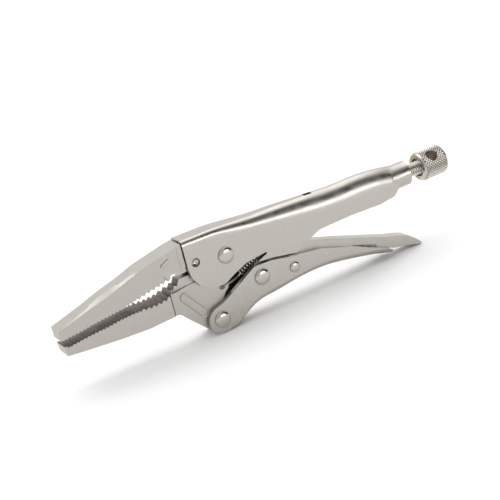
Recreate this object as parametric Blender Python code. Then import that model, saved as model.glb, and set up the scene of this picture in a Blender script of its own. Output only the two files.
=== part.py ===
"""Long-nose locking pliers, 220 mm long, standing on the lower handle with the jaws locked 3.5 mm apart.

The frame has +X from the jaw tips to the adjusting knob, Y across the tool and +Z up. Its origin is the
middle of the bounding box's bottom face. Outlines are drawn in the X-Z plane in millimetres: x from a datum
2.2 mm in front of the jaw tips, z from the surface that the tool stands on.
"""

import math

import bpy
from mathutils import Matrix, Vector

MM = 0.001
DATUM_X = 112.25  # x of the frame's origin
FAR = 90.0  # longer than any cut needs

# Pivots of the linkage, as (x, z).
JAW_PIVOT = (90.7, 36.8)  # lower jaw on the upper handle
HANDLE_PIVOT = (80.8, 6.9)  # lower handle on the lower jaw
LINK_PIVOT = (106.4, 19.2)  # toggle link on the lower handle
LEVER_PIVOT = (124.5, 17.2)  # release lever in the lower handle
FIXED_PIN = (74.9, 39.2)  # holds the upper jaw between the cheeks
LINK_REST = (148.0, 38.0)  # centre of the link's rounded end, on the screw's axis

# Widths across the tool: the handles are folded from sheet, and the other parts nest inside one another.
HANDLE_HALF = 6.4
SHEET = 2.3
CHEEK_INNER = HANDLE_HALF - SHEET
HANDLE_FRONT = 70.3  # x where the upper handle's cheeks start
SHANK_HALF = CHEEK_INNER - 0.3
SHANK_END_RADIUS = 9.4  # the upper jaw's shank ends this far from the jaw's pivot, clear of the hub there
JAW_TIP_HALF = 4.9
MILLED_HALF_TIP = 4.6
MILLED_HALF = 5.1
TOOTH_HALF = 6.2
UPPER_BODY_HALF = 5.8
JAW_STEP = 0.35
ANVIL_HALF_UPPER = 4.8
ANVIL_HALF_LOWER = 3.3
LEVER_HALF = SHANK_HALF
LEVER_SHEET = 1.1
LINK_HALF = LEVER_HALF - LEVER_SHEET - 0.3

# Screw, knob and the sleeve at the upper handle's rear end.
SCREW_Z = 38.0
SCREW_RADIUS = 3.4
SCREW_START = LINK_REST[0] + 3.0 + 2.4
SCREW_END = 211.4
SLEEVE_RADIUS = 6.3
SLEEVE_START = 190.0
SLEEVE_END = 200.0
BORE_RADIUS = 3.8
KNOB_START = 208.0
KNOB_END = 222.3
KNOB_RADIUS = 7.8
KNOB_RECESS_RADIUS = 4.9
KNOB_RECESS_DEPTH = 1.8
CROSS_HOLE_X = 214.8
CROSS_HOLE_RADIUS = 3.1
CROSS_HOLE_TURN = math.radians(46.0)  # from the near side up

# Fasteners.
RIVET_SHAFT = 2.5
RIVET_HEAD = 4.1
RIVET_DOME = 1.5
LEVER_RIVET_SHAFT = 1.7
LEVER_RIVET_HEAD = 2.7
LEVER_RIVET_DOME = 1.1
PIN_RADIUS = 1.9
PIN_RECESS = 0.4
HOLE_PLAY = 0.3
SEAT_PLAY = 0.1

# Teeth.
FINE_PITCH = 1.9
FINE_DEPTH = 0.75
COARSE_PITCH = 2.8
COARSE_DEPTH = 1.3

# Spring.
SPRING_WIRE = 0.45
SPRING_COIL = 2.3
SPRING_TURNS = 12
SPRING_COIL_START = (97.5, 23.6)
SPRING_COIL_END = (115.5, 31.2)
SPRING_HOLE = (85.9, 22.0)
SPRING_HOLE_RADIUS = 1.8
SPRING_EAR_RADIUS = 3.6
TAB_X = 139.6
TAB_THICK = 1.2
TAB_HALF = 1.6
TAB_LOW = 40.3
WINDOW_LENGTH = 4.4

NICKEL = (0.52, 0.50, 0.46, 1.0)
BRIGHT_STEEL = (0.66, 0.65, 0.62, 1.0)


# ---------------------------------------------------------------- helpers


def clear_scene():
    for obj in list(bpy.data.objects):
        bpy.data.objects.remove(obj)


def place(x, y, z):
    """A point in metres in the part's frame from millimetres on the drawing."""
    return Vector(((x - DATUM_X) * MM, y * MM, z * MM))


def metal(name, color, roughness):
    material = bpy.data.materials.get(name)
    if material:
        return material
    material = bpy.data.materials.new(name)
    material.use_nodes = True
    shader = material.node_tree.nodes["Principled BSDF"]
    shader.inputs["Base Color"].default_value = color
    shader.inputs["Metallic"].default_value = 1.0
    shader.inputs["Roughness"].default_value = roughness
    material.diffuse_color = color
    return material


def rounded(points, steps=4):
    """The closed outline of (x, z, radius) corners, each radius turned into an arc of straight steps."""
    outline = []
    count = len(points)
    for i, (x, z, radius) in enumerate(points):
        corner = Vector((x, z))
        before = (Vector(points[i - 1][:2]) - corner).normalized()
        after = (Vector(points[(i + 1) % count][:2]) - corner).normalized()
        half_angle = before.angle(after) / 2
        if radius <= 0 or half_angle > math.radians(88):
            outline.append((x, z))
            continue
        centre = corner + (before + after).normalized() * radius / math.sin(half_angle)
        start = corner + before * radius / math.tan(half_angle) - centre
        end = corner + after * radius / math.tan(half_angle) - centre
        sweep = start.angle_signed(end)
        for step in range(steps + 1):
            arm = start.copy()
            arm.rotate(Matrix.Rotation(-sweep * step / steps, 2))
            outline.append(tuple(centre + arm))
    return outline


def arc(centre, radius, start, end, steps):
    """Points on a circle in the X-Z plane; the angles are in degrees from +X towards +Z."""
    points = []
    for step in range(steps + 1):
        angle = math.radians(start + (end - start) * step / steps)
        points.append((centre[0] + radius * math.cos(angle), centre[1] + radius * math.sin(angle)))
    return points


def along(curve, x):
    """The z of a smooth curve through (x, z) points that rise in x, eased between them."""
    if x <= curve[0][0]:
        return curve[0][1]
    for i in range(len(curve) - 1):
        (x0, z0), (x1, z1) = curve[i], curve[i + 1]
        if x <= x1:
            before = curve[max(i - 1, 0)]
            after = curve[min(i + 2, len(curve) - 1)]
            slope0 = (z1 - before[1]) / (x1 - before[0])
            slope1 = (after[1] - z0) / (after[0] - x0)
            t = (x - x0) / (x1 - x0)
            length = x1 - x0
            return (
                (2 * t**3 - 3 * t**2 + 1) * z0
                + (t**3 - 2 * t**2 + t) * length * slope0
                + (3 * t**2 - 2 * t**3) * z1
                + (t**3 - t**2) * length * slope1
            )
    return curve[-1][1]


def spaced(start, end, count):
    return [start + (end - start) * i / count for i in range(count + 1)]


def mesh_object(name, vertices, faces):
    mesh = bpy.data.meshes.new(name)
    mesh.from_pydata(vertices, [], faces)
    mesh.validate()
    obj = bpy.data.objects.new(name, mesh)
    bpy.context.scene.collection.objects.link(obj)
    return obj


def loft(name, sections):
    """A closed solid through equal-length rings of points, capped at both ends, facing out."""
    size = len(sections[0])
    vertices = [place(*point) for ring in sections for point in ring]
    faces = [tuple(range(size)), tuple(reversed(range(len(vertices) - size, len(vertices))))]
    for ring in range(len(sections) - 1):
        for i in range(size):
            j = (i + 1) % size
            a = ring * size
            faces.append((a + j, a + i, a + size + i, a + size + j))
    obj = mesh_object(name, vertices, faces)
    if signed_volume(obj) < 0:
        obj.data.flip_normals()
    return obj


def signed_volume(obj):
    obj.data.calc_loop_triangles()
    corners = [vertex.co for vertex in obj.data.vertices]
    volume = 0.0
    for triangle in obj.data.loop_triangles:
        a, b, c = (corners[index] for index in triangle.vertices)
        volume += a.dot(b.cross(c))
    return volume


def mirrored(outline):
    """The (x, y) points on the tool's other side, in reverse order."""
    return [(x, -y) for x, y in reversed(outline)]


def prism(name, outline, low, high):
    """The outline of (x, z) points, extruded across the tool from y = low to y = high."""
    return loft(name, [[(x, y, z) for x, z in outline] for y in (low, high)])


def plate(name, outline, half):
    return prism(name, outline, -half, half)


def plan(name, outline, low, high):
    """The outline of (x, y) points, extruded upwards."""
    return loft(name, [[(x, y, z) for x, y in outline] for z in (low, high)])


def box(name, x0, x1, half, z0, z1):
    return plate(name, [(x0, z0), (x1, z0), (x1, z1), (x0, z1)], half)


def cross_bar(name, centre, profile, sides=32):
    """A turned piece whose axis runs across the tool; the profile is (radius, y) pairs."""
    rings = []
    for radius, y in profile:
        ring = arc(centre, radius, 0, 360 - 360 / sides, sides - 1)
        rings.append([(x, y, z) for x, z in ring])
    return loft(name, rings)


def long_bar(name, profile, sides=32):
    """A turned piece on the screw's axis; the profile is (radius, x) pairs."""
    rings = []
    for radius, x in profile:
        ring = arc((0.0, SCREW_Z), radius, 0, 360 - 360 / sides, sides - 1)
        rings.append([(x, y, z) for y, z in ring])
    return loft(name, rings)


def combine(obj, other, operation):
    """Joins, cuts or intersects obj with other, which is used up."""
    modifier = obj.modifiers.new(operation.title(), "BOOLEAN")
    modifier.operation = operation
    modifier.solver = "EXACT"
    modifier.object = other
    bpy.context.view_layer.update()
    evaluated = obj.evaluated_get(bpy.context.evaluated_depsgraph_get())
    mesh = bpy.data.meshes.new_from_object(evaluated)
    obj.modifiers.clear()
    obj.data = mesh
    bpy.data.objects.remove(other)
    return obj


def cut(obj, other):
    return combine(obj, other, "DIFFERENCE")


def join(obj, other):
    return combine(obj, other, "UNION")


def keep(obj, other):
    return combine(obj, other, "INTERSECT")


def drill(obj, centre, radius, sides=24):
    return cut(obj, cross_bar("drill", centre, [(radius, -FAR / 4), (radius, FAR / 4)], sides))


def finish(obj, name, material, pivot=None):
    """Names the piece, shades it, and puts its origin on the pivot that it turns on."""
    obj.name = name
    obj.data.name = name
    if pivot:
        shift = place(*pivot)
        obj.data.transform(Matrix.Translation(-shift))
        obj.location = shift
    obj.data.materials.clear()
    obj.data.materials.append(material)
    obj.data.shade_smooth()
    obj.data.set_sharp_from_angle(angle=math.radians(35))
    return obj


# ---------------------------------------------------------------- upper handle group

SPINE = [
    (70, 51.4),
    (88, 51.2),
    (98, 50.4),
    (110, 49.4),
    (124, 48.9),
    (140, 48.0),
    (157, 47.0),
    (171, 47.1),
    (184, 46.0),
    (193, 44.4),
]
SPINE_RADIUS = [(70, 2.2), (88, 2.5), (105, 3.8), (125, 5.0), (145, 6.1), (193, 6.2)]
HANDLE_WIDTH = [(70, HANDLE_HALF), (182, HANDLE_HALF), (193, HANDLE_HALF - 0.3)]
FOLD_STRETCH = 1.5  # a fold in the sheet is this much taller than it is wide


def arch_section(x, half, top, radius, low, stretch=1.0, steps=8):
    """A section across a channel: straight sides under a top with rounded corners."""
    radius = min(radius, half)
    height = radius * stretch
    near = []
    for step in range(steps + 1):
        angle = math.pi / 2 * step / steps
        across = half - radius + radius * math.cos(angle)
        near.append((x, -across, top - height + height * math.sin(angle)))
    away = [(px, -py, pz) for px, py, pz in reversed(near)]
    return [(x, -half, low)] + near + away + [(x, half, low)]


def upper_handle():
    outer = []
    for x in spaced(HANDLE_FRONT, 193.0, 28):
        half = along(HANDLE_WIDTH, x)
        outer.append(arch_section(x, half, along(SPINE, x), along(SPINE_RADIUS, x), 0.0, FOLD_STRETCH))
    body = loft("upper_handle", outer)
    side = rounded(
        [
            (HANDLE_FRONT, 60, 0),
            (HANDLE_FRONT, 23.4, 14.0),
            (87.0, 23.4, 2.5),
            (92.6, 26.2, 3),
            (99.7, 29.0, 6),
            (106.0, 29.8, 6),
            (115.0, 30.6, 0.5),
            (105.8, 27.2, 0.3),
            (115.1, 26.2, 6),
            (127.2, 23.7, 0.8),
            (133.6, 26.6, 2),
            (142.3, 30.2, 8),
            (162.0, 30.5, 20),
            (178.4, 29.8, 6),
            (188.0, 30.8, 3),
            (194.0, 36.5, 0),
            (194.0, 60, 0),
        ]
    )
    keep(body, plate("side", side, FAR / 8))
    join(body, long_bar("sleeve", [(SLEEVE_RADIUS, SLEEVE_START - 1), (SLEEVE_RADIUS, SLEEVE_END)], 36))
    inner = []
    for x in spaced(69.0, SLEEVE_START, 18):
        radius = max(along(SPINE_RADIUS, x) - SHEET, 0.6)
        inner.append(arch_section(x, CHEEK_INNER, along(SPINE, x) - SHEET, radius, -1.0, FOLD_STRETCH))
    cut(body, loft("hollow", inner))
    cut(body, long_bar("bore", [(BORE_RADIUS, SLEEVE_START - 2), (BORE_RADIUS, SLEEVE_END + 1)], 28))
    cut(body, box("window", TAB_X + TAB_THICK, TAB_X + TAB_THICK + WINDOW_LENGTH, TAB_HALF, 42, 55))
    join(body, box("tab", TAB_X, TAB_X + TAB_THICK, TAB_HALF, TAB_LOW, 46.5))
    drill(body, JAW_PIVOT, RIVET_SHAFT + HOLE_PLAY)
    drill(body, FIXED_PIN, PIN_RADIUS + HOLE_PLAY)
    return finish(body, "upper_handle", metal("nickel_plate", NICKEL, 0.35))


def toothed(guide, start, end, pitch, depth, down):
    """Saw teeth whose roots follow the guide; the points hang below it when down is true."""
    count = round((end - start) / pitch)
    points = []
    for tooth in range(count):
        x = start + (end - start) * tooth / count
        tip = x + pitch * 0.5
        points.append((x, along(guide, x)))
        points.append((tip, along(guide, tip) + (-depth if down else depth)))
    return points


UPPER_TEETH = [
    (4.5, 28.7),
    (14, 29.6),
    (20, 30.5),
    (31, 31.4),
    (38, 32.4),
    (45, 33.9),
    (52, 35.2),
    (58, 36.2),
    (61, 37.2),
]
LOWER_TEETH = [
    (4.5, 23.9),
    (14, 25.1),
    (24, 25.8),
    (32, 26.7),
    (40, 27.1),
    (48, 26.4),
    (54, 26.6),
    (58.5, 27.6),
]
JAW_RIDGE = [(2.2, 33.3), (12.0, 36.2), (25.5, 40.8), (42.0, 45.0), (46.4, 45.7), (57.6, 48.0), (69.8, 50.4)]
JAW_SHOULDER = [(0, 32.6), (13.9, 36.0), (22.7, 38.1), (30.5, 40.2), (38.6, 43.0), (43.0, 44.4), (47.5, 46.0)]
RIDGE_HALF = 3.0
TEETH_START = 4.5
COARSE_START = 42.5


def crown(side):
    """What is taken off one side of the upper jaw's top, from its ridge down to its shoulder."""
    rings = []
    for x in spaced(0, 47.5, 19):
        ridge = along(JAW_RIDGE, x)
        slope = (ridge - along(JAW_SHOULDER, x)) / (UPPER_BODY_HALF - RIDGE_HALF)
        inner, outer = side * (RIDGE_HALF - 0.1), side * 9
        foot = ridge - slope * (9 - RIDGE_HALF)
        crest = ridge + slope * 0.1 + 0.02
        rings.append([(x, inner, crest), (x, outer, foot), (x, outer, 60), (x, inner, 60)])
    return loft("crown", rings)


def upper_jaw():
    teeth = toothed(UPPER_TEETH, TEETH_START, COARSE_START, FINE_PITCH, FINE_DEPTH, True)
    teeth += toothed(UPPER_TEETH, COARSE_START, 61.0, COARSE_PITCH, COARSE_DEPTH, True)
    outline = [(2.2, 28.2), (TEETH_START, 28.4)] + teeth
    outline += [(61.8, 37.5), (63.6, 37.5), (65.0, 36.0), (69.0, 36.2), (69.8, 36.2)]
    outline += list(reversed(JAW_RIDGE))
    nose = plate("upper_jaw", outline, UPPER_BODY_HALF)
    taper = [(0, JAW_TIP_HALF), (45, UPPER_BODY_HALF - 0.2), (60, UPPER_BODY_HALF), (67.2, UPPER_BODY_HALF)]
    taper += [(67.5, UPPER_BODY_HALF - JAW_STEP), (75, UPPER_BODY_HALF - JAW_STEP)]
    keep(nose, plan("taper", taper + mirrored(taper), 0, FAR))
    zone = JAW_SHOULDER[:5] + [(43.5, 43.8), (47.2, 44.0), (50.0, 43.6), (52.4, 42.5), (54.7, 41.3)]
    zone += [(56.6, 40.0), (58.3, 38.2), (59.4, 36.0), (60, 20), (0, 20)]
    shelf = [(61.0, 34.0), (72.0, 34.0), (72.0, 39.2), (61.0, 37.9)]
    for side in (-1, 1):
        flat = [(-5, side * MILLED_HALF_TIP), (61, side * MILLED_HALF), (61, side * 9), (-5, side * 9)]
        milled = plan("flat", flat, 20, 60)
        keep(milled, plate("zone", zone, FAR / 8))
        cut(nose, milled)
        cut(nose, crown(side))
        cut(nose, prism("shelf", shelf, *sorted((side * ANVIL_HALF_UPPER, side * 9))))
    shank = [(69.0, 36.2), (80.9, 36.2)]
    shank += arc(JAW_PIVOT, SHANK_END_RADIUS, 180, 128, 6)[1:]
    shank += [(84.9, 48.5), (69.0, 48.7)]
    join(nose, plate("shank", shank, SHANK_HALF))
    drill(nose, FIXED_PIN, PIN_RADIUS + HOLE_PLAY)
    return finish(nose, "upper_jaw", metal("nickel_forging", NICKEL, 0.4))


def rivet(name, centre, shaft, head, dome):
    """A solid pin with a domed head on each side of the handle's cheeks."""
    seat = HANDLE_HALF + SEAT_PLAY
    rim = 0.35
    shape = []
    steps = 4
    for step in range(steps):
        angle = math.pi / 2 * step / steps
        shape.append((head * math.cos(angle), seat + rim + (dome - rim) * math.sin(angle)))
    shape.append((head * 0.12, seat + dome))
    near = [(shaft, seat), (head, seat)] + shape
    profile = [(radius, -y) for radius, y in reversed(near)] + near
    return cross_bar(name, centre, profile, 24)


def pivot_rivet():
    body = rivet("pivot_rivet", JAW_PIVOT, RIVET_SHAFT, RIVET_HEAD, RIVET_DOME)
    return finish(body, "pivot_rivet", metal("polished_rivet", BRIGHT_STEEL, 0.2))


def fixed_jaw_pin():
    end = HANDLE_HALF - PIN_RECESS
    body = cross_bar("pin", FIXED_PIN, [(PIN_RADIUS, -end), (PIN_RADIUS, end)], 24)
    return finish(body, "fixed_jaw_pin", metal("polished_rivet", BRIGHT_STEEL, 0.2))


def spring_path():
    """The wire's centre line: a hook in the jaw's hole, the coil, and a straight end hooked on the tab."""
    start = Vector(SPRING_COIL_START)
    end = Vector(SPRING_COIL_END)
    axis = (end - start).normalized()
    side = Vector((-axis[1], axis[0]))
    hook = SPRING_HOLE
    points = [
        (hook[0], 3.1, hook[1]),
        (hook[0], 0.0, hook[1]),
        (hook[0], -3.1, hook[1]),
        (hook[0] + 0.3, -4.4, hook[1] + 0.1),
        (hook[0] + 1.6, -5.0, hook[1] + 0.3),
        (hook[0] + 5.0, -4.8, hook[1] + 0.5),
        (start[0] - 2.5, -SPRING_COIL - 0.4, start[1] - 1.2),
    ]
    steps = 10
    for i in range(SPRING_TURNS * steps + 1):
        turn = 2 * math.pi * i / steps
        centre = start.lerp(end, i / (SPRING_TURNS * steps))
        rise = side * SPRING_COIL * math.sin(turn)
        points.append((centre[0] + rise[0], -SPRING_COIL * math.cos(turn), centre[1] + rise[1]))
    tail = Vector((TAB_X - 1.0, TAB_LOW + 0.6))
    points.append((end[0] + 1.6, -1.2, end[1] + 0.7))
    points.append((end[0] + 3.2, 0.0, end[1] + 1.3))
    points.append((tail[0], 0.0, tail[1]))
    return points


def tension_spring():
    curve = bpy.data.curves.new("tension_spring", "CURVE")
    curve.dimensions = "3D"
    curve.bevel_depth = SPRING_WIRE * MM
    curve.bevel_resolution = 1
    curve.use_fill_caps = True
    points = spring_path()
    spline = curve.splines.new("POLY")
    spline.points.add(len(points) - 1)
    for point, position in zip(spline.points, points):
        point.co = (*place(*position), 1.0)
    obj = bpy.data.objects.new("tension_spring", curve)
    bpy.context.scene.collection.objects.link(obj)
    curve.materials.append(metal("spring_wire", BRIGHT_STEEL, 0.3))
    return obj


# ---------------------------------------------------------------- moving parts


def lower_jaw():
    teeth = toothed(LOWER_TEETH, TEETH_START, COARSE_START, FINE_PITCH, FINE_DEPTH, False)
    teeth += toothed(LOWER_TEETH, COARSE_START, 58.5, COARSE_PITCH, COARSE_DEPTH, False)
    top = [(2.6, 25.3), (TEETH_START, 24.9)] + teeth
    top += [(58.8, 28.0), (59.9, 30.3), (61.3, 29.5), (62.6, 31.5), (63.8, 30.7), (65.4, 33.6)]
    top += [(75.0, 33.8), (80.0, 33.0)]
    hub = arc(JAW_PIVOT, 8.4, 190, -60, 14)
    ear = arc(SPRING_HOLE, SPRING_EAR_RADIUS, 55, -70, 8)
    foot = arc(HANDLE_PIVOT, 6.5, 0, -130, 10)
    outline = top + hub + ear + [(85.6, 16.4)] + foot
    outline += [(73.3, 4.5), (65.0, 13.1), (62.3, 16.3), (60.6, 17.4), (58.0, 17.9)]
    outline += [(45.6, 17.3), (30.0, 18.0), (12.9, 19.4), (3.2, 20.4)]
    body = plate("lower_jaw", outline, TOOTH_HALF)
    taper = [(0, JAW_TIP_HALF), (40, TOOTH_HALF), (58.0, TOOTH_HALF), (59.0, TOOTH_HALF - 1.0)]
    taper += [(70.0, SHANK_HALF), (105, SHANK_HALF)]
    keep(body, plan("taper", taper + mirrored(taper), -5, FAR))
    shelf = [(59.8, 28.4), (78.0, 29.9), (78.0, 36.0), (59.8, 36.0)]
    for side in (-1, 1):
        cut(body, prism("shelf", shelf, *sorted((side * ANVIL_HALF_LOWER, side * 9))))
    drill(body, JAW_PIVOT, RIVET_SHAFT + HOLE_PLAY)
    drill(body, HANDLE_PIVOT, RIVET_SHAFT + HOLE_PLAY)
    drill(body, SPRING_HOLE, SPRING_HOLE_RADIUS, 16)
    pivot = (JAW_PIVOT[0], 0, JAW_PIVOT[1])
    return finish(body, "lower_jaw", metal("nickel_forging", NICKEL, 0.4), pivot)


KEEL = [
    (72, -1.6),
    (80, -1.2),
    (84.5, 0.0),
    (88, 1.2),
    (95, 4.4),
    (102.6, 7.4),
    (115, 8.7),
    (128, 10.2),
    (141, 10.4),
    (154, 8.6),
    (170, 5.3),
    (181, 2.2),
]
KEEL_RADIUS = [(72, 0.5), (90, 0.8), (97, 2.6), (110, 3.0), (181, 3.2)]
KEEL_SHEET = [(88, 2.2), (140, 1.8), (160, 1.5), (181, 1.4)]
KEEL_SLOT_START = 172.0
BULGE_RADIUS = 6.9


def hull_section(x, half, bottom, radius, high):
    """A section across a channel that is open upwards."""
    return [(px, py, bottom - pz) for px, py, pz in arch_section(x, half, 0.0, radius, bottom - high)]


def lower_handle():
    outer = []
    for x in spaced(73.0, 182.0, 28):
        outer.append(hull_section(x, HANDLE_HALF, along(KEEL, x), along(KEEL_RADIUS, x), 40.0))
    body = loft("lower_handle", outer)
    corners = [
        (94.2, 20.4, 0),
        (103.4, 25.6, 5),
        (112.4, 25.3, 5),
        (126.2, 22.6, 8),
        (140.7, 20.6, 15),
        (160.3, 13.9, 30),
        (178.6, 5.9, 1.8),
        (181.0, 4.0, 1.0),
        (180.2, 0.0, 0),
        (110.0, 0.0, 0),
    ]
    side = arc(HANDLE_PIVOT, BULGE_RADIUS, 300, 95, 16) + [(84.5, 15.2)] + rounded(corners)[:-1]
    side += [(97.0, 0.0), (95.5, 4.9), (92.0, 3.2), (88.0, 1.5)]
    keep(body, plate("side", side, FAR / 8))
    inner = []
    for x in spaced(87.6, 184.0, 16):
        keel = along(KEEL, x) + along(KEEL_SHEET, x)
        inner.append(hull_section(x, CHEEK_INNER, keel, max(along(KEEL_RADIUS, x) - SHEET, 0.5), 60.0))
    cut(body, loft("hollow", inner))
    cut(body, box("mouth", 60, 89.5, CHEEK_INNER, -5, 60))
    cut(body, box("tail_slot", KEEL_SLOT_START, 190, CHEEK_INNER, -5, 60))
    drill(body, HANDLE_PIVOT, RIVET_SHAFT + HOLE_PLAY)
    drill(body, LINK_PIVOT, RIVET_SHAFT + HOLE_PLAY)
    drill(body, LEVER_PIVOT, LEVER_RIVET_SHAFT + HOLE_PLAY)
    pivot = (HANDLE_PIVOT[0], 0, HANDLE_PIVOT[1])
    return finish(body, "lower_handle", metal("nickel_plate", NICKEL, 0.35), pivot)


def jaw_rivet():
    body = rivet("jaw_rivet", HANDLE_PIVOT, RIVET_SHAFT, RIVET_HEAD, RIVET_DOME)
    return finish(body, "jaw_rivet", metal("polished_rivet", BRIGHT_STEEL, 0.2))


def link_rivet():
    body = rivet("link_rivet", LINK_PIVOT, RIVET_SHAFT, RIVET_HEAD, RIVET_DOME)
    return finish(body, "link_rivet", metal("polished_rivet", BRIGHT_STEEL, 0.2))


def lever_rivet():
    body = rivet("lever_rivet", LEVER_PIVOT, LEVER_RIVET_SHAFT, LEVER_RIVET_HEAD, LEVER_RIVET_DOME)
    return finish(body, "lever_rivet", metal("polished_rivet", BRIGHT_STEEL, 0.2))


def toggle_link():
    rise = LINK_REST[1] - LINK_PIVOT[1]
    direction = math.degrees(math.atan2(rise, LINK_REST[0] - LINK_PIVOT[0]))
    outline = arc(LINK_PIVOT, 3.9, direction + 100, direction + 260, 10)
    outline += arc(LINK_REST, 3.0, direction - 90, direction + 90, 8)
    body = plate("toggle_link", outline, LINK_HALF)
    drill(body, LINK_PIVOT, RIVET_SHAFT + HOLE_PLAY)
    pivot = (LINK_PIVOT[0], 0, LINK_PIVOT[1])
    return finish(body, "toggle_link", metal("nickel_forging", NICKEL, 0.4), pivot)


LEVER_TOP = [
    (127.8, 22.3),
    (134.9, 26.0),
    (142.3, 23.9),
    (156.1, 19.4),
    (170.0, 14.6),
    (181.3, 10.6),
    (189.5, 8.2),
]


def release_lever():
    under = [(190.5, 2.3), (182.5, 4.0), (176.0, 6.6), (173.0, 8.0), (172.6, 9.6), (168.0, 11.4)]
    under += [(154.0, 15.9), (140.0, 17.6)]
    under += [(132.0, 15.0), (LEVER_PIVOT[0], 14.4)]
    tail = [(192.6, 7.0), (196.6, 3.6), (199.3, 0.8), (198.2, 0.1)]
    outline = [(121.0, 14.9), (116.0, 16.4), (116.0, 19.2), (121.5, 20.8)] + LEVER_TOP + tail + under
    body = plate("release_lever", outline, LEVER_HALF)
    lining = [(x, z - LEVER_SHEET * 1.1) for x, z in LEVER_TOP[2:-1]]
    front = [(110.0, 5.0), (110.0, 40.0), (133.8, 40.0), (133.8, 24.5)]
    hollow = front + lining + [(186.0, 8.0), (181.5, 3.0), (160.0, 5.0)]
    cut(body, plate("hollow", hollow, LEVER_HALF - LEVER_SHEET))
    join(body, box("nose", 116.2, 119.2, LEVER_HALF - 0.2, 16.9, 18.7))
    drill(body, LEVER_PIVOT, LEVER_RIVET_SHAFT + HOLE_PLAY)
    pivot = (LEVER_PIVOT[0], 0, LEVER_PIVOT[1])
    return finish(body, "release_lever", metal("nickel_plate", NICKEL, 0.35), pivot)


def adjusting_screw():
    chamfer = 0.9
    profile = [
        (SCREW_RADIUS - chamfer, SCREW_START),
        (SCREW_RADIUS, SCREW_START + chamfer),
        (SCREW_RADIUS, SCREW_END),
    ]
    body = long_bar("adjusting_screw", profile, 28)
    pivot = (SCREW_START, 0, SCREW_Z)
    return finish(body, "adjusting_screw", metal("bright_screw", BRIGHT_STEEL, 0.25), pivot)


def screw_knob():
    edge = 1.0
    profile = [
        (KNOB_RADIUS - edge, KNOB_START),
        (KNOB_RADIUS, KNOB_START + edge),
        (KNOB_RADIUS, KNOB_END - edge),
        (KNOB_RADIUS - edge, KNOB_END),
    ]
    body = long_bar("screw_knob", profile, 40)
    recess_end = KNOB_START + KNOB_RECESS_DEPTH
    cut(body, long_bar("recess", [(KNOB_RECESS_RADIUS, KNOB_START - 1), (KNOB_RECESS_RADIUS, recess_end)], 32))
    cut(body, long_bar("socket", [(BORE_RADIUS, KNOB_START - 1), (BORE_RADIUS, SCREW_END + HOLE_PLAY)], 28))
    profile = [(CROSS_HOLE_RADIUS, -FAR / 4), (CROSS_HOLE_RADIUS, FAR / 4)]
    hole = cross_bar("cross_hole", (CROSS_HOLE_X, SCREW_Z), profile, 28)
    centre = place(CROSS_HOLE_X, 0, SCREW_Z)
    turn = Matrix.Translation(centre) @ Matrix.Rotation(-CROSS_HOLE_TURN, 4, "X") @ Matrix.Translation(-centre)
    hole.data.transform(turn)
    cut(body, hole)
    return finish(body, "screw_knob", metal("bright_screw", BRIGHT_STEEL, 0.25), (KNOB_START, 0, SCREW_Z))


def main():
    clear_scene()
    upper_handle()
    upper_jaw()
    fixed_jaw_pin()
    pivot_rivet()
    tension_spring()
    lower_jaw()
    lower_handle()
    jaw_rivet()
    link_rivet()
    lever_rivet()
    toggle_link()
    release_lever()
    adjusting_screw()
    screw_knob()


main()
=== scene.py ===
"""Looks for a pair of long-nose locking pliers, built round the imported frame.

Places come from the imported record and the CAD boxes. Outlines that a piece adds are in millimetres on the
drawing: x from a datum 2.2 mm in front of the jaw tips, y across the tool, z up from the floor.
"""

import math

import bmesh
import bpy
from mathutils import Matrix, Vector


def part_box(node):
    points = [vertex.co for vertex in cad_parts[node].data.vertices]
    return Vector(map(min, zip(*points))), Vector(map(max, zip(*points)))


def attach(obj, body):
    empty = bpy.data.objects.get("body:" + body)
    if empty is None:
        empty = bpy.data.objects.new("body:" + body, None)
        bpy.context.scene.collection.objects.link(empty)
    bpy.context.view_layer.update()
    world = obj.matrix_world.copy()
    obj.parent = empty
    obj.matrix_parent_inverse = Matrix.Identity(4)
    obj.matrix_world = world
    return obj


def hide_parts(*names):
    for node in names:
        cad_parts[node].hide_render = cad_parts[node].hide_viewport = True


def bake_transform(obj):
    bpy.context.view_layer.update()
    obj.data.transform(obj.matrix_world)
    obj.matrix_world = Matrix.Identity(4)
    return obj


bl_info = {
    "name": "Locking pliers finish",
    "version": (1, 0, 0),
    "blender": (4, 5, 0),
    "location": "View3D > Sidebar > Pliers",
    "description": "Builds the finished pieces of a pair of locking pliers and a plain studio round them",
    "category": "Object",
}

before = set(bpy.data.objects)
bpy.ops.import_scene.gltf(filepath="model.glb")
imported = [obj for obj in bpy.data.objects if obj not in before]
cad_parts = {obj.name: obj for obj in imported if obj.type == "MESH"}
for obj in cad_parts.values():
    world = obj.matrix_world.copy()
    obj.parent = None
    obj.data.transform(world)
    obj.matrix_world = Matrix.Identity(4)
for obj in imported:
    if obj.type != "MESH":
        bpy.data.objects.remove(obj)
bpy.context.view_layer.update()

MM = 0.001
DATUM_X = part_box("upper_jaw")[0].x - 2.2 * MM
TEETH_FROM, TEETH_TO = 3.5, 65.5  # the bite's ends along x
LOWER_BITE_FLOOR, UPPER_BITE_ROOF = 23.5, 38.0  # no tooth lies past these heights
BAR_START, BAR_END = (57.6, 43.4), (62.6, 45.4)  # x and z on the upper jaw's side
PLAQUE_START, PLAQUE_END = (64.2, 26.0), (75.4, 11.0)  # x and z on the lower jaw's side
MARK_HEIGHT = 0.55  # how far the marks stand out
LINK_EDGE = 0.25  # edge of the lever and the link
WIRE_RADIUS = 0.45
PATCH = 6.0  # size of the metal's slow patches
LOOK_AT = (-5.9, 0.0, 31.9)  # the camera's target, in mm in the frame
ACROSS = Matrix.Rotation(math.pi / 2, 4, "X")  # turns a piece made along Z to lie across the tool
ALONG = Matrix.Rotation(math.pi / 2, 4, "Y")  # turns a piece made along Z to lie along the tool


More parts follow.
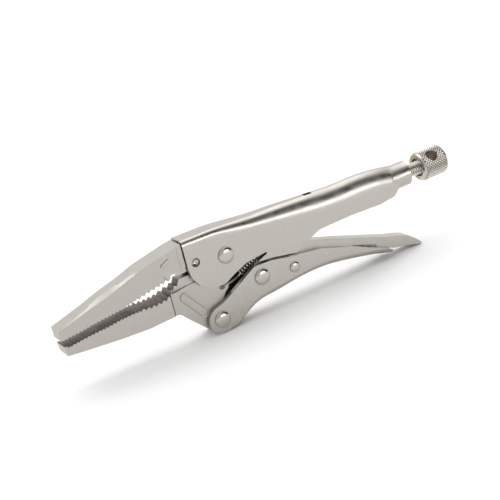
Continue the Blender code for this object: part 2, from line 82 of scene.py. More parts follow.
def point(x, y, z):
    """A place in the frame, in metres, from millimetres on the drawing."""
    return Vector((DATUM_X + x * MM, y * MM, z * MM))


def middle(node):
    """The centre of a CAD node's box."""
    low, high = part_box(node)
    return (low + high) / 2


def linear(colour):
    """The linear colour of an sRGB hex value such as #c8c4bc."""
    channels = [int(colour[i : i + 2], 16) / 255 for i in (1, 3, 5)]
    return [c / 12.92 if c <= 0.04045 else ((c + 0.055) / 1.055) ** 2.4 for c in channels]


# ---------------------------------------------------------------- mesh helpers


def deselect_all():
    """Leaves edit mode and selects nothing."""
    if bpy.context.mode != "OBJECT":
        bpy.ops.object.mode_set(mode="OBJECT")
    bpy.ops.object.select_all(action="DESELECT")


def pick(obj):
    """Makes an object the only one selected, and the active one."""
    deselect_all()
    obj.select_set(True)
    bpy.context.view_layer.objects.active = obj


def edit(obj):
    """Opens an object in edit mode with its whole mesh selected."""
    pick(obj)
    bpy.ops.object.mode_set(mode="EDIT")
    bpy.ops.mesh.select_mode(type="VERT")
    bpy.ops.mesh.select_all(action="SELECT")


def leave():
    """Closes edit mode."""
    bpy.ops.object.mode_set(mode="OBJECT")


def select(obj, kind, test):
    """In edit mode, selects the verts, edges or faces that pass the test, and nothing else."""
    bpy.ops.mesh.select_mode(type={"verts": "VERT", "edges": "EDGE", "faces": "FACE"}[kind])
    bpy.ops.mesh.select_all(action="DESELECT")
    mesh = bmesh.from_edit_mesh(obj.data)
    mesh.normal_update()
    for part in getattr(mesh, kind):
        if test(part):
            part.select_set(True)
    mesh.select_flush_mode()
    bmesh.update_edit_mesh(obj.data)


def made(name):
    """Names the object that an operator has just added."""
    obj = bpy.context.active_object
    obj.name = name
    obj.data.name = name
    return obj


def put(obj, matrix):
    """Moves a finished mesh into place and leaves its object at the origin."""
    obj.matrix_world = matrix
    pick(obj)
    bpy.ops.object.transform_apply(location=True, rotation=True, scale=True)
    return obj


def modify(obj, kind, **settings):
    """Adds a modifier, sets it and applies it."""
    pick(obj)
    bpy.ops.object.modifier_add(type=kind)
    modifier = obj.modifiers[-1]
    for name, value in settings.items():
        setattr(modifier, name, value)
    bpy.ops.object.modifier_apply(modifier=modifier.name)


def cut(obj, tool):
    """Takes a tool's shape out of an object, and removes the tool."""
    modify(obj, "BOOLEAN", operation="DIFFERENCE", solver="EXACT", object=tool)
    bpy.data.objects.remove(tool)


def outward(obj):
    """Merges doubled corners and turns every face outwards."""
    edit(obj)
    bpy.ops.mesh.remove_doubles(threshold=0.001 * MM)
    bpy.ops.mesh.normals_make_consistent(inside=False)
    leave()


def smooth(obj, angle, weighted=False):
    """Shades an object smooth up to an angle, where asked with normals that follow its large faces."""
    pick(obj)
    bpy.ops.object.shade_smooth_by_angle(angle=math.radians(angle))
    if weighted:
        modify(obj, "WEIGHTED_NORMAL", mode="FACE_AREA", weight=80, keep_sharp=True)


def copy_of(node, name):
    """A merged copy of a CAD node's mesh, ready to be worked on."""
    obj = bpy.data.objects.new(name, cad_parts[node].data.copy())
    bpy.context.scene.collection.objects.link(obj)
    edit(obj)
    bpy.ops.mesh.remove_doubles(threshold=0.002 * MM)
    bpy.ops.mesh.customdata_custom_splitnormals_clear()
    bpy.ops.mesh.dissolve_limited(angle_limit=math.radians(0.6))
    leave()
    obj.data.materials.clear()
    return obj


def round_edges(obj, width, segments=3, angle=30):
    """Bevels the edges that turn by more than the angle, by a width in mm."""
    modify(
        obj,
        "BEVEL",
        width=width * MM,
        segments=segments,
        limit_method="ANGLE",
        angle_limit=math.radians(angle),
        miter_outer="MITER_ARC",
    )


def turned(name, profile, sides=64):
    """A closed turned piece along Z, extruded ring by ring: profile is (height, radius) in mm, upwards."""
    deselect_all()
    height, radius = profile[0]
    bpy.ops.mesh.primitive_circle_add(
        vertices=sides, radius=radius * MM, fill_type="NGON", location=(0, 0, 0)
    )
    obj = made(name)
    edit(obj)
    bpy.ops.transform.translate(value=(0, 0, height * MM))
    for next_height, next_radius in profile[1:]:
        step = (0, 0, (next_height - height) * MM)
        bpy.ops.mesh.extrude_region_move(TRANSFORM_OT_translate={"value": step})
        bpy.ops.transform.resize(value=(next_radius / radius, next_radius / radius, 1))
        height, radius = next_height, next_radius
    leave()
    outward(obj)
    return obj


def line(name, points):
    """An edge path through points in metres, drawn by extruding one corner."""
    deselect_all()
    bpy.ops.mesh.primitive_plane_add(size=MM, location=(0, 0, 0))
    obj = made(name)
    edit(obj)
    bpy.ops.mesh.merge(type="CENTER")
    bpy.ops.transform.translate(value=points[0])
    for before, after in zip(points, points[1:]):
        step = Vector(after) - Vector(before)
        bpy.ops.mesh.extrude_vertices_move(TRANSFORM_OT_translate={"value": step})
    leave()
    return obj


def rod(name, points, radius):
    """A round wire along points in metres, closed at both ends."""
    curve = bpy.data.curves.new(name, "CURVE")
    curve.dimensions = "3D"
    curve.bevel_depth = radius * MM
    curve.bevel_resolution = 3
    curve.use_fill_caps = True
    spline = curve.splines.new("POLY")
    spline.points.add(len(points) - 1)
    for place, position in zip(spline.points, points):
        place.co = (*position, 1.0)
    obj = bpy.data.objects.new(name, curve)
    bpy.context.scene.collection.objects.link(obj)
    pick(obj)
    bpy.ops.object.convert(target="MESH")
    outward(obj)
    smooth(obj, 60)
    return obj


def stadium(name, length, width, wall=0.0):
    """A flat plate with round ends along X, centred, or the frame that is left when its middle is cut out."""
    deselect_all()
    bpy.ops.mesh.primitive_circle_add(
        vertices=48, radius=width / 2 * MM, fill_type="NGON", location=(0, 0, 0)
    )
    obj = made(name)
    bpy.ops.object.mode_set(mode="EDIT")
    reach = (length - width) / 2 * MM
    for side in (-1, 1):
        select(obj, "verts", lambda vert: vert.co.x * side > 0.001 * MM)
        bpy.ops.transform.translate(value=(side * reach, 0, 0))
    select(obj, "faces", lambda face: True)
    if wall:
        bpy.ops.mesh.inset(thickness=wall * MM)
        bpy.ops.mesh.delete(type="FACE")
    else:
        bpy.ops.mesh.poke()
    leave()
    return obj


def emboss(target, plate, start, end, side, height):
    """Lays a flat plate on the target's near (-1) or far (1) side from start to end, and raises it there."""
    begin, finish = point(start[0], 0, start[1]), point(end[0], 0, end[1])
    along = (finish - begin).normalized()
    turn = Matrix((along, Vector((0, side, 0)).cross(along), (0, side, 0))).transposed().to_4x4()
    put(plate, Matrix.Translation((begin + finish) / 2 + Vector((0, side * 20 * MM, 0))) @ turn)
    modify(
        plate,
        "SHRINKWRAP",
        target=target,
        wrap_method="PROJECT",
        use_project_y=True,
        use_positive_direction=side < 0,
        use_negative_direction=side > 0,
    )
    modify(plate, "SOLIDIFY", thickness=2 * height * MM, offset=0.0)
    outward(plate)
    round_edges(plate, 0.2, 2, 50)
    modify(target, "BOOLEAN", operation="UNION", solver="EXACT", object=plate)
    bpy.data.objects.remove(plate)


def settle(obj, body, slot, *nodes):
    """Finishes a piece: it rides on a body, and stands for CAD nodes where any are named."""
    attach(obj, body)
    if nodes:
        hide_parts(*nodes)


# ---------------------------------------------------------------- materials


def add_node(tree, kind, settings=None, links=None):
    """Adds a node. Settings name its sockets or its own properties, and links name what feeds its inputs."""
    node = tree.nodes.new(kind)
    for name, value in (settings or {}).items():
        if name in node.inputs:
            node.inputs[name].default_value = value
        else:
            setattr(node, name, value)
    for name, source in (links or {}).items():
        tree.links.new(source, node.inputs[name])
    return node


def maths(tree, operation, *values):
    """The result of a Math node, whose inputs are sockets or plain numbers."""
    node = add_node(tree, "ShaderNodeMath", {"operation": operation})
    for socket, value in zip(node.inputs, values):
        if isinstance(value, bpy.types.NodeSocket):
            tree.links.new(value, socket)
        else:
            socket.default_value = value
    return node.outputs["Value"]


def new_material(name, colour, metallic=1.0, roughness=0.3):
    """A material with its tree and shader, or one already made with neither, so that it isn't built twice."""
    material = bpy.data.materials.get(name)
    if material:
        return material, None, None
    material = bpy.data.materials.new(name)
    material.use_nodes = True
    shader = material.node_tree.nodes["Principled BSDF"]
    shader.inputs["Base Color"].default_value = (*colour, 1.0)
    shader.inputs["Metallic"].default_value = metallic
    shader.inputs["Roughness"].default_value = roughness
    return material, material.node_tree, shader


def grained(tree, shader, grain_mm, depth_mm, dull, bright):
    """Breaks a metal's gloss with an even grain and with slow patches that differ in roughness."""
    place = add_node(tree, "ShaderNodeTexCoord").outputs["Object"]
    grain = add_node(
        tree, "ShaderNodeTexNoise", {"Scale": 1 / (grain_mm * MM), "Detail": 3.0}, {"Vector": place}
    )
    patches = add_node(
        tree, "ShaderNodeTexNoise", {"Scale": 1 / (PATCH * MM), "Detail": 2.0}, {"Vector": place}
    )
    rough = add_node(
        tree,
        "ShaderNodeMapRange",
        {"From Min": 0.35, "From Max": 0.65, "To Min": bright, "To Max": dull},
        {"Value": patches.outputs["Fac"]},
    )
    tree.links.new(rough.outputs["Result"], shader.inputs["Roughness"])
    bump = add_node(
        tree, "ShaderNodeBump", {"Strength": 1.0, "Distance": depth_mm * MM}, {"Height": grain.outputs["Fac"]}
    )
    tree.links.new(bump.outputs["Normal"], shader.inputs["Normal"])


def nickel_on_pressed_steel(finish):
    """Satin nickel plate: the sheet is tumbled before plating, which leaves a grain of about 0.45 mm."""
    material, tree, shader = new_material("satin_nickel_on_pressed_steel", finish.nickel)
    if tree:
        grained(tree, shader, 0.45, 0.012, 0.34, 0.26)
    return material


def nickel_on_forging(finish):
    """Satin nickel plate over a shot-blasted forging: duller than the sheet, with a grain of about 0.6 mm."""
    material, tree, shader = new_material("satin_nickel_on_forged_steel", finish.forging)
    if tree:
        grained(tree, shader, 0.6, 0.016, 0.42, 0.34)
    return material


def hardened_teeth(finish):
    """Broached and induction-hardened steel: dull brown-grey, with the broach's fine lines."""
    material, tree, shader = new_material("hardened_broached_steel", finish.teeth, 0.85)
    if tree:
        grained(tree, shader, 0.3, 0.02, 0.55, 0.42)
    return material


def polished_nickel(finish):
    """Bright nickel on headed rivets: smooth from the die, so it mirrors the room."""
    material, tree, shader = new_material("bright_nickel_on_headed_rivet", finish.rivet)
    if tree:
        grained(tree, shader, 0.8, 0.003, 0.2, 0.12)
    return material


def turned_nickel(finish):
    """Nickel on turned and rolled steel: bright, with fine marks."""
    material, tree, shader = new_material("nickel_on_turned_steel", finish.turned)
    if tree:
        grained(tree, shader, 0.35, 0.006, 0.3, 0.2)
    return material


def nickel_with_painted_relief_light(finish, name, bottom, top):
    """Nickel on rolled threads and knurls, with painted shade in the hollows and a painted highlight on the
    tops.

    The hollows and the tops are told apart by their distance from the screw's axis, bottom and top in mm.
    """
    material, tree, shader = new_material(name, finish.turned)
    if tree:
        grained(tree, shader, 0.35, 0.004, 0.3, 0.2)
        # The colour runs from painted shade in the hollows to a painted highlight on the tops, by distance
        # from the screw's axis.
        place = add_node(tree, "ShaderNodeTexCoord").outputs["Object"]
        axis = middle("adjusting_screw").z
        centred = add_node(
            tree, "ShaderNodeMapping", {"Location": (0, 0, -axis), "Scale": (0, 1, 1)}, {"Vector": place}
        )
        reach = add_node(
            tree, "ShaderNodeVectorMath", {"operation": "LENGTH"}, {"Vector": centred.outputs[0]}
        )
        share = add_node(
            tree,
            "ShaderNodeMapRange",
            {"From Min": bottom * MM, "From Max": top * MM, "To Min": 0.0, "To Max": 1.0},
            {"Value": reach.outputs["Value"]},
        )
        # A mix node has sockets for each kind of data: 6, 7 and output 2 are the ones for colours.
        blend = add_node(tree, "ShaderNodeMix", {"data_type": "RGBA"})
        blend.inputs[6].default_value = (*finish.hollow_shade, 1.0)
        blend.inputs[7].default_value = (*finish.crest, 1.0)
        tree.links.new(share.outputs["Result"], blend.inputs[0])
        tree.links.new(blend.outputs[2], shader.inputs["Base Color"])
    return material


def bore_steel(finish):
    """Drilled steel inside a hole, coloured a darker brown-grey than the knob as painted shade, with fine
    marks.
    """
    material, tree, shader = new_material("oiled_bore_steel", finish.bore, 0.8)
    if tree:
        grained(tree, shader, 0.3, 0.01, 0.55, 0.45)
    return material


def drawn_spring_wire(finish):
    """Drawn spring steel: the die leaves it bright, so each turn carries a sharp white line."""
    material, tree, shader = new_material("drawn_spring_wire", finish.spring)
    if tree:
        grained(tree, shader, 0.3, 0.004, 0.26, 0.16)
    return material


# ---------------------------------------------------------------- settings


class PliersFinish(bpy.types.PropertyGroup):
    nickel: bpy.props.FloatVectorProperty(
        name="Sheet nickel", description="Plate on the handles", subtype="COLOR", default=linear("#b4b0aa")
    )
    forging: bpy.props.FloatVectorProperty(
        name="Jaw nickel", description="Plate on the jaws", subtype="COLOR", default=linear("#b1ada7")
    )
    teeth: bpy.props.FloatVectorProperty(
        name="Teeth", description="Bare hardened steel", subtype="COLOR", default=linear("#7d746d")
    )
    rivet: bpy.props.FloatVectorProperty(
        name="Rivets", description="Bright plate on rivets", subtype="COLOR", default=linear("#b9b5ae")
    )
    turned: bpy.props.FloatVectorProperty(
        name="Knob", description="Plate on the knob's ends", subtype="COLOR", default=linear("#bdb9b1")
    )
    # Painted highlight on the tops of the thread and the knurl.
    crest: bpy.props.FloatVectorProperty(
        name="Crests", description="Tops of thread and knurl", subtype="COLOR", default=linear("#e4e1da")
    )
    # Painted shade in the grooves of the thread and the knurl.
    hollow_shade: bpy.props.FloatVectorProperty(
        name="Hollows", description="Shaded grooves of the knurl", subtype="COLOR", default=linear("#7f776e")
    )
    # Painted shade inside the knob's holes and recess.
    bore: bpy.props.FloatVectorProperty(
        name="Bores", description="Inside of the knob's holes", subtype="COLOR", default=linear("#a89b8d")
    )
    spring: bpy.props.FloatVectorProperty(
        name="Spring", description="Drawn spring wire", subtype="COLOR", default=linear("#a8a49c")
    )


class PliersSizes(bpy.types.PropertyGroup):
    sheet_edge: bpy.props.FloatProperty(
        name="Sheet edge", description="Rounding of the handles' edges, in mm", default=0.75
    )
    jaw_edge: bpy.props.FloatProperty(
        name="Jaw edge", description="Rounding of the jaws' edges, in mm", default=0.3
    )
    thread_pitch: bpy.props.FloatProperty(
        name="Thread pitch", description="Pitch of the adjusting screw, in mm", default=1.1
    )
    thread_depth: bpy.props.FloatProperty(
        name="Thread depth", description="Depth of the screw's thread, in mm", default=0.55
    )
    knurl_cells: bpy.props.IntProperty(
        name="Knurl cells", description="Diamonds round the knob", default=30, min=12
    )
    knurl_height: bpy.props.FloatProperty(
        name="Knurl height", description="Height of each diamond's point, in mm", default=0.38
    )


class PliersStage(bpy.types.PropertyGroup):
    azimuth: bpy.props.FloatProperty(
        name="Azimuth", description="Camera's turn to the jaws", unit="ROTATION", default=math.radians(24.0)
    )
    elevation: bpy.props.FloatProperty(
        name="Elevation", description="Camera's height", unit="ROTATION", default=math.radians(20.0)
    )
    roll: bpy.props.FloatProperty(
        name="Roll", description="Turn of the picture", unit="ROTATION", default=math.radians(14.2)
    )
    distance: bpy.props.FloatProperty(
        name="Distance", description="Camera to the tool's middle", unit="LENGTH", default=0.7
    )
    lens: bpy.props.FloatProperty(
        name="Lens", description="Focal length", unit="CAMERA", default=104.3
    )


# ---------------------------------------------------------------- pieces


def plated_copy(node, edge):
    """A merged copy of a sheet or forged CAD node with its edges broken, in mm."""
    obj = copy_of(node, node + "_plated")
    round_edges(obj, edge)
    smooth(obj, 40, True)
    return obj


class PLIERS_OT_upper_handle(bpy.types.Operator):
    """Presses the upper handle: folded sheet with rounded edges and satin nickel"""

    bl_idname = "pliers.upper_handle"
    bl_label = "Upper handle"

    def execute(self, context):
        scene = context.scene
        obj = plated_copy("upper_handle", scene.pliers_sizes.sheet_edge)
        obj.data.materials.append(nickel_on_pressed_steel(scene.pliers_finish))
        settle(obj, "fixed_side", "nickel_sheet", "upper_handle")
        return {"FINISHED"}


class PLIERS_OT_lower_handle(bpy.types.Operator):
    """Presses the lower handle"""

    bl_idname = "pliers.lower_handle"
    bl_label = "Lower handle"

    def execute(self, context):
        scene = context.scene
        obj = plated_copy("lower_handle", scene.pliers_sizes.sheet_edge)
        obj.data.materials.append(nickel_on_pressed_steel(scene.pliers_finish))
        settle(obj, "moving_handle", "nickel_sheet", "lower_handle")
        return {"FINISHED"}


class PLIERS_OT_release_lever(bpy.types.Operator):
    """Presses the release lever"""

    bl_idname = "pliers.release_lever"
    bl_label = "Release lever"

    def execute(self, context):
        scene = context.scene
        obj = plated_copy("release_lever", LINK_EDGE)
        obj.data.materials.append(nickel_on_pressed_steel(scene.pliers_finish))
        settle(obj, "lever", "nickel_sheet", "release_lever")
        return {"FINISHED"}


def has_teeth(face, low_jaw):
    """True on the flanks of the teeth, which point up or down and lie along the bite."""
    centre = face.calc_center_median()
    x = (centre.x - DATUM_X) / MM
    if abs(face.normal.y) > 0.5 or not TEETH_FROM < x < TEETH_TO:
        return False
    z = centre.z / MM
    if low_jaw:
        return face.normal.z > 0.2 and z > LOWER_BITE_FLOOR
    return face.normal.z < -0.2 and z < UPPER_BITE_ROOF


class PLIERS_OT_jaws(bpy.types.Operator):
    """Finishes both jaws: plated forgings with bare hardened teeth"""

    bl_idname = "pliers.jaws"
    bl_label = "Jaws"

    def execute(self, context):
        scene = context.scene
        for node, body in (("upper_jaw", "fixed_side"), ("lower_jaw", "moving_jaw")):
            obj = copy_of(node, node + "_plated")
            obj.data.materials.append(nickel_on_forging(scene.pliers_finish))
            obj.data.materials.append(hardened_teeth(scene.pliers_finish))
            edit(obj)
            select(obj, "faces", lambda face: has_teeth(face, node == "lower_jaw"))
            obj.active_material_index = 1
            bpy.ops.object.material_slot_assign()
            leave()
            round_edges(obj, scene.pliers_sizes.jaw_edge)
            for side in (-1, 1):
                if node == "upper_jaw":
                    emboss(obj, stadium("bar", 5.4, 1.5), BAR_START, BAR_END, side, MARK_HEIGHT)
                else:
                    plaque = stadium("plaque", 19.0, 4.6, 0.75)
                    emboss(obj, plaque, PLAQUE_START, PLAQUE_END, side, MARK_HEIGHT)
            smooth(obj, 40, True)
            settle(obj, body, "nickel_forging", node)
        return {"FINISHED"}


def rivet(name, node, head, dome, shaft, finish):
    """A headed rivet across the tool, with a polished dome on each side."""
    low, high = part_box(node)
    centre = (low + high) / 2
    reach = (high.y - low.y) / 2 / MM
    seat = reach - dome
    steps = 14
    cap = []
    for step in range(steps + 1):
        tilt = math.pi / 2 * (1 - 0.97 * step / steps)
        cap.append((seat + 0.1 + (dome - 0.1) * math.cos(tilt) ** 0.9, head * math.sin(tilt) ** 0.95))
    upper = [(seat, shaft), (seat, head - 0.12)] + cap
    lower = [(-height, radius) for height, radius in reversed(upper)]
    obj = turned(name, lower + upper)
    put(obj, Matrix.Translation(centre) @ ACROSS)
    smooth(obj, 50)
    obj.data.materials.append(polished_nickel(finish))
    return obj


class PLIERS_OT_rivets(bpy.types.Operator):
    """Turns the rivets and the jaw's pin"""

    bl_idname = "pliers.rivets"
    bl_label = "Rivets"

    def execute(self, context):
        finish = context.scene.pliers_finish
        # Each rivet's body, and its head's radius, its dome's height and its shaft's radius in mm.
        large, small = (4.1, 1.5, 2.5), (2.7, 1.1, 1.7)
        homes = {
            "pivot_rivet": ("fixed_side", large),
            "jaw_rivet": ("moving_handle", large),
            "link_rivet": ("moving_handle", large),
            "lever_rivet": ("moving_handle", small),
        }
        for node, (body, sizes) in homes.items():
            obj = rivet(node + "_headed", node, *sizes, finish)
            settle(obj, body, "polished_rivet", node)
        low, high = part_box("fixed_jaw_pin")
        reach = (high.y - low.y) / 2 / MM
        radius = (high.x - low.x) / 2 / MM
        # Each end has a small chamfer and a shallow dish.
        half = [
            (reach - 0.2, radius),
            (reach, radius - 0.3),
            (reach - 0.55, radius * 0.5),
            (reach - 0.65, 0.1),
        ]
        mirrored = [(-height, ring) for height, ring in reversed(half)]
        obj = turned("fixed_jaw_pin_pressed", mirrored + half, 48)
        put(obj, Matrix.Translation((low + high) / 2) @ ACROSS)
        smooth(obj, 40)
        obj.data.materials.append(polished_nickel(finish))
        settle(obj, "fixed_side", "polished_rivet", "fixed_jaw_pin")
        return {"FINISHED"}


class PLIERS_OT_toggle_link(bpy.types.Operator):
    """Finishes the toggle link"""

    bl_idname = "pliers.toggle_link"
    bl_label = "Toggle link"

    def execute(self, context):
        obj = plated_copy("toggle_link", LINK_EDGE)
        obj.data.materials.append(nickel_on_forging(context.scene.pliers_finish))
        settle(obj, "link", "nickel_forging", "toggle_link")
        return {"FINISHED"}


def spring_points():
    """The wire's line: a hook in the jaw's ear, the coil, and a straight leg to the tab under the spine."""
    hole = (85.9, 22.0)
    start, end = Vector((97.5, 23.6)), Vector((115.5, 31.2))
    coil, turns, steps = 2.3, 12, 24
    axis = (end - start).normalized()
    side = Vector((-axis[1], axis[0]))
    points = [
        (hole[0], 3.1, hole[1]),
        (hole[0], 0.0, hole[1]),
        (hole[0], -3.1, hole[1]),
        (hole[0] + 0.1, -4.2, hole[1]),
        (hole[0] + 0.5, -4.8, hole[1] + 0.1),
        (hole[0] + 1.6, -5.0, hole[1] + 0.3),
        (hole[0] + 5.0, -4.8, hole[1] + 0.5),
        (start[0] - 2.5, -coil - 0.4, start[1] - 1.2),
    ]
    for i in range(turns * steps + 1):
        turn = 2 * math.pi * i / steps
        centre = start.lerp(end, i / (turns * steps))
        rise = side * coil * math.sin(turn)
        points.append((centre[0] + rise[0], -coil * math.cos(turn), centre[1] + rise[1]))
    points += [(end[0] + 1.6, -1.2, end[1] + 0.7), (end[0] + 3.2, 0.0, end[1] + 1.3), (138.6, 0.0, 40.9)]
    return [point(*place) for place in points]


class PLIERS_OT_spring(bpy.types.Operator):
    """Winds the tension spring, which stretches between the handle and the jaw"""

    bl_idname = "pliers.spring"
    bl_label = "Spring"

    def execute(self, context):
        obj = rod("spring_wound", spring_points(), WIRE_RADIUS)
        obj.data.materials.append(drawn_spring_wire(context.scene.pliers_finish))
        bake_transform(obj)
        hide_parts("tension_spring")
        return {"FINISHED"}


class PLIERS_OT_screw(bpy.types.Operator):
    """Cuts the adjusting screw's thread"""

    bl_idname = "pliers.screw"
    bl_label = "Adjusting screw"

    def execute(self, context):
        scene = context.scene
        pitch, depth = scene.pliers_sizes.thread_pitch * MM, scene.pliers_sizes.thread_depth * MM
        low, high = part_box("adjusting_screw")
        crest = (high.z - low.z) / 2
        root = crest - depth
        turns = int((high.x - low.x) / pitch) + 3
        profile = [(root, 0.0), (crest, 0.38), (crest, 0.5), (root, 0.88), (root, 1.0)]
        obj = line("adjusting_screw_threaded", [(radius, 0, share * pitch) for radius, share in profile])
        modify(
            obj,
            "SCREW",
            axis="Z",
            screw_offset=pitch,
            iterations=turns,
            steps=32,
            render_steps=32,
            use_merge_vertices=True,
            merge_threshold=0.01 * MM,
        )
        put(obj, Matrix.Translation((low.x - 1.5 * pitch, 0, middle("adjusting_screw").z)) @ ALONG)
        for place, side in ((low.x, -1), (high.x, 1)):
            edit(obj)
            bpy.ops.mesh.bisect(
                plane_co=(place, 0, 0), plane_no=(side, 0, 0), use_fill=True, clear_outer=True
            )
            leave()
        outward(obj)
        smooth(obj, 30)
        # The thread's roots get painted shade and the upper part of each crest a painted highlight.
        bright = (root + 0.6 * depth) / MM
        thread = nickel_with_painted_relief_light(scene.pliers_finish, "nickel_on_rolled_thread", root / MM, bright)
        obj.data.materials.append(thread)
        settle(obj, "screw", "bright_screw", "adjusting_screw")
        return {"FINISHED"}


class PLIERS_OT_knob(bpy.types.Operator):
    """Turns and knurls the adjusting knob"""

    bl_idname = "pliers.knob"
    bl_label = "Knob"

    def execute(self, context):
        scene = context.scene
        sizes = scene.pliers_sizes
        low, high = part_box("screw_knob")
        length = (high.x - low.x) / MM
        radius = (high.z - low.z) / 2 / MM - 0.1
        chamfer = 0.9
        recess_radius, recess_depth, recess_floor = 4.9, 1.8, 4.6
        hole_radius, hole_forward, hole_lean = 3.1, 0.7, 46.0
        depth = (length - 2 * chamfer) * MM
        columns = 2 * sizes.knurl_cells
        groove = (radius - sizes.knurl_height) * MM
        deselect_all()
        bpy.ops.mesh.primitive_cylinder_add(vertices=columns, radius=groove, depth=depth, location=(0, 0, 0))
        obj = made("screw_knob_knurled")
        bpy.ops.object.mode_set(mode="EDIT")
        select(obj, "edges", lambda edge: abs(edge.verts[0].co.z - edge.verts[1].co.z) > MM)
        rows = round(depth / (2 * math.pi * groove / columns))
        bpy.ops.mesh.subdivide(number_cuts=rows - 1)

        def on_point(vert):
            """True on every other corner of the grid, which becomes a diamond's point."""
            column = round(math.atan2(vert.co.y, vert.co.x) / (2 * math.pi / columns))
            row = round((vert.co.z / depth + 0.5) * rows)
            return 0 < row < rows and (column + row) % 2 == 0

        select(obj, "verts", on_point)
        grow = 1 + sizes.knurl_height * MM / groove
        bpy.ops.transform.resize(value=(grow, grow, 1))
        select(obj, "faces", lambda face: len(face.verts) == 4)
        bpy.ops.mesh.quads_convert_to_tris(quad_method="SHORTEST_DIAGONAL")
        for side in (-1, 1):
            select(obj, "faces", lambda face: face.normal.z * side > 0.99)
            bpy.ops.mesh.extrude_region_move(
                TRANSFORM_OT_translate={"value": (0, 0, side * chamfer * MM)}
            )
            shrink = (radius - chamfer) * MM / groove
            bpy.ops.transform.resize(value=(shrink, shrink, 1))
        leave()
        outward(obj)
        centre = Vector((middle("screw_knob").x, 0, middle("screw_knob").z))
        put(obj, Matrix.Translation(centre) @ ALONG)
        wall_end = (recess_depth - 0.2, recess_radius)
        recess = turned("recess", [(-3.0, recess_radius), wall_end, (recess_depth, recess_floor)])
        put(recess, Matrix.Translation((low.x, 0, centre.z)) @ ALONG)
        cut(obj, recess)
        hole = turned("cross_hole", [(-12.0, hole_radius), (12.0, hole_radius)], 48)
        lean = Matrix.Rotation(-math.radians(hole_lean), 4, "X") @ ACROSS
        hole_centre = centre + Vector((-hole_forward * MM, 0, 0))
        put(hole, Matrix.Translation(hole_centre) @ lean)
        cut(obj, hole)
        smooth(obj, 20)
        obj.data.materials.append(turned_nickel(scene.pliers_finish))
        # The knurl's grooves get painted shade and its points a painted highlight.
        knurl = nickel_with_painted_relief_light(
            scene.pliers_finish,
            "nickel_on_knurl",
            radius - sizes.knurl_height,
            radius - 0.4 * sizes.knurl_height,
        )
        obj.data.materials.append(knurl)
        obj.data.materials.append(bore_steel(scene.pliers_finish))
        bpy.ops.object.mode_set(mode="EDIT")
        axis = Vector((0, centre.y, centre.z))

        def on_knurl(face):
            out = face.calc_center_median() - axis
            out.x = 0
            return out.length > (radius - 1.5 * sizes.knurl_height) * MM and face.normal.dot(out) > 0

        hole_axis = (lean @ Vector((0, 0, 1, 0))).to_3d()

        # Faces inside the cross hole and the front recess take the bore colour, a painted shade.
        def in_bore(face):
            spot = face.calc_center_median()
            across = spot - hole_centre
            across -= across.project(hole_axis)
            near = across.length < (hole_radius + 0.1) * MM
            in_hole = near and face.normal.dot(across) < -0.5 * across.length
            around = spot - axis
            within = math.hypot(around.y, around.z) < (recess_radius + 0.02) * MM
            in_recess = within and spot.x < low.x + (recess_depth + 0.1) * MM
            return in_hole or in_recess

        for index, test in ((1, on_knurl), (2, in_bore)):
            select(obj, "faces", test)
            obj.active_material_index = index
            bpy.ops.object.material_slot_assign()
        leave()
        settle(obj, "knob", "bright_screw", "screw_knob")
        return {"FINISHED"}


# ---------------------------------------------------------------- studio


def aim(settings):
    """The camera's matrix: it looks at the tool's middle from the azimuth and elevation, and is rolled."""
    a, e, roll = settings.azimuth, settings.elevation, settings.roll
    ahead = Vector((math.sin(a) * math.cos(e), math.cos(a) * math.cos(e), -math.sin(e)))
    right = Vector((math.cos(a), -math.sin(a), 0))
    up = right.cross(ahead)
    across = math.cos(roll) * right - math.sin(roll) * up
    rise = math.sin(roll) * right + math.cos(roll) * up
    matrix = Matrix((across, rise, -ahead)).transposed().to_4x4()
    matrix.translation = Vector(LOOK_AT) * MM - settings.distance * ahead
    return matrix


def glow(tree, direction, centre, inner, outer):
    """1 inside a round patch of the sky and 0 outside it: inner and outer are degrees from its centre."""
    place = add_node(tree, "ShaderNodeVectorMath", {"operation": "DOT_PRODUCT"})
    tree.links.new(direction, place.inputs[0])
    place.inputs[1].default_value = Vector(centre).normalized()
    patch = add_node(
        tree,
        "ShaderNodeMapRange",
        {
            "interpolation_type": "SMOOTHSTEP",
            "From Min": math.cos(math.radians(outer)),
            "From Max": math.cos(math.radians(inner)),
            "To Min": 0.0,
            "To Max": 1.0,
        },
        {"Value": place.outputs["Value"]},
    )
    return patch.outputs["Result"]


def studio_sky(world):
    """A white room, brighter at the back, with a soft box low in front and dark gaps above and beside it."""
    world.use_nodes = True
    tree = world.node_tree
    background = tree.nodes["Background"]
    direction = add_node(tree, "ShaderNodeTexCoord").outputs["Generated"]
    level = add_node(tree, "ShaderNodeSeparateXYZ", {}, {"Vector": direction})
    # From the front, y = -1, to the back, y = 1.
    depth = add_node(
        tree,
        "ShaderNodeMapRange",
        {"From Min": -1.0, "From Max": 1.0, "To Min": 0.66, "To Max": 1.06},
        {"Value": level.outputs["Y"]},
    )
    shade = glow(tree, direction, (0.55, -0.70, 0.50), 12, 30)
    side = glow(tree, direction, (0.95, -0.30, 0.12), 16, 34)
    both = maths(tree, "MAXIMUM", shade, side)
    kept = maths(tree, "MULTIPLY_ADD", both, -0.94, 1.0)
    dimmed = maths(tree, "MULTIPLY", depth.outputs["Result"], kept)
    lamp = glow(tree, direction, (0.40, -0.92, 0.03), 9, 19)
    total = maths(tree, "MULTIPLY_ADD", lamp, 4.0, dimmed)
    tree.links.new(total, background.inputs["Strength"])
    background.inputs["Color"].default_value = (1.0, 1.0, 1.0, 1.0)


def soft_lamp(name, location, target, size, power):
    """An area lamp that faces the target."""
    deselect_all()
    bpy.ops.object.light_add(type="AREA", location=location)
    lamp = bpy.context.active_object
    lamp.name = name
    lamp.data.shape = "RECTANGLE"
    lamp.data.size, lamp.data.size_y = size
    lamp.data.energy = power
    lamp.rotation_mode = "QUATERNION"
    lamp.rotation_quaternion = (Vector(target) - Vector(location)).to_track_quat("-Z", "Y")
    return lamp


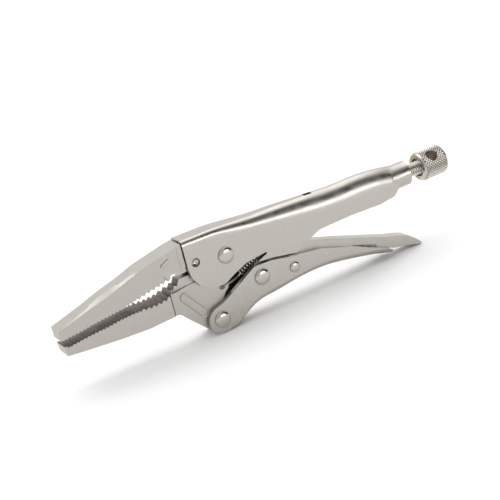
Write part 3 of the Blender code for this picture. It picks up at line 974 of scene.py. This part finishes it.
class PLIERS_OT_stage(bpy.types.Operator):
    """Puts the pliers on a pale floor in a white studio, with the camera in place"""

    bl_idname = "pliers.stage"
    bl_label = "Studio"

    def execute(self, context):
        deselect_all()
        settings = context.scene.pliers_stage
        bpy.ops.object.camera_add()
        camera = bpy.context.active_object
        camera.name = "camera"
        camera.data.lens = settings.lens
        camera.data.sensor_width = 36.0
        camera.data.clip_start = 0.01
        camera.matrix_world = aim(settings)
        context.scene.camera = camera

        deselect_all()
        bpy.ops.mesh.primitive_plane_add(size=12.0, location=(0, 0, 0))
        floor = made("floor")
        material, tree, shader = new_material("matt_white_paper", linear("#fafafa"), 0.0, 0.9)
        shader.inputs["Specular IOR Level"].default_value = 0.1
        floor.data.materials.append(material)

        soft_lamp("key_lamp", (0.05, 0.45, 1.4), (0, 0, 0.02), (2.2, 1.6), 14)
        world = context.scene.world or bpy.data.worlds.new("studio")
        context.scene.world = world
        studio_sky(world)
        context.scene.view_settings.view_transform = "Standard"
        return {"FINISHED"}


class PLIERS_PT_panel(bpy.types.Panel):
    """Lists the settings and the pieces in the sidebar"""

    bl_label = "Locking pliers"
    bl_idname = "PLIERS_PT_panel"
    bl_space_type = "VIEW_3D"
    bl_region_type = "UI"
    bl_category = "Pliers"

    def draw(self, context):
        scene = context.scene
        for group in (scene.pliers_finish, scene.pliers_sizes, scene.pliers_stage):
            for name in group.__annotations__:
                self.layout.prop(group, name)
        for step in STEPS:
            self.layout.operator(step.bl_idname)


STEPS = (
    PLIERS_OT_upper_handle,
    PLIERS_OT_lower_handle,
    PLIERS_OT_release_lever,
    PLIERS_OT_jaws,
    PLIERS_OT_rivets,
    PLIERS_OT_toggle_link,
    PLIERS_OT_spring,
    PLIERS_OT_screw,
    PLIERS_OT_knob,
    PLIERS_OT_stage,
)
GROUPS = {"pliers_finish": PliersFinish, "pliers_sizes": PliersSizes, "pliers_stage": PliersStage}
CLASSES = (*GROUPS.values(), *STEPS, PLIERS_PT_panel)


def register():
    for kind in CLASSES:
        bpy.utils.register_class(kind)
    for name, group in GROUPS.items():
        setattr(bpy.types.Scene, name, bpy.props.PointerProperty(type=group))


def unregister():
    for name in GROUPS:
        delattr(bpy.types.Scene, name)
    for kind in reversed(CLASSES):
        bpy.utils.unregister_class(kind)


def main():
    register()
    for step in STEPS:
        family, name = step.bl_idname.split(".")
        getattr(getattr(bpy.ops, family), name)()


if __name__ == "__main__":
    main()
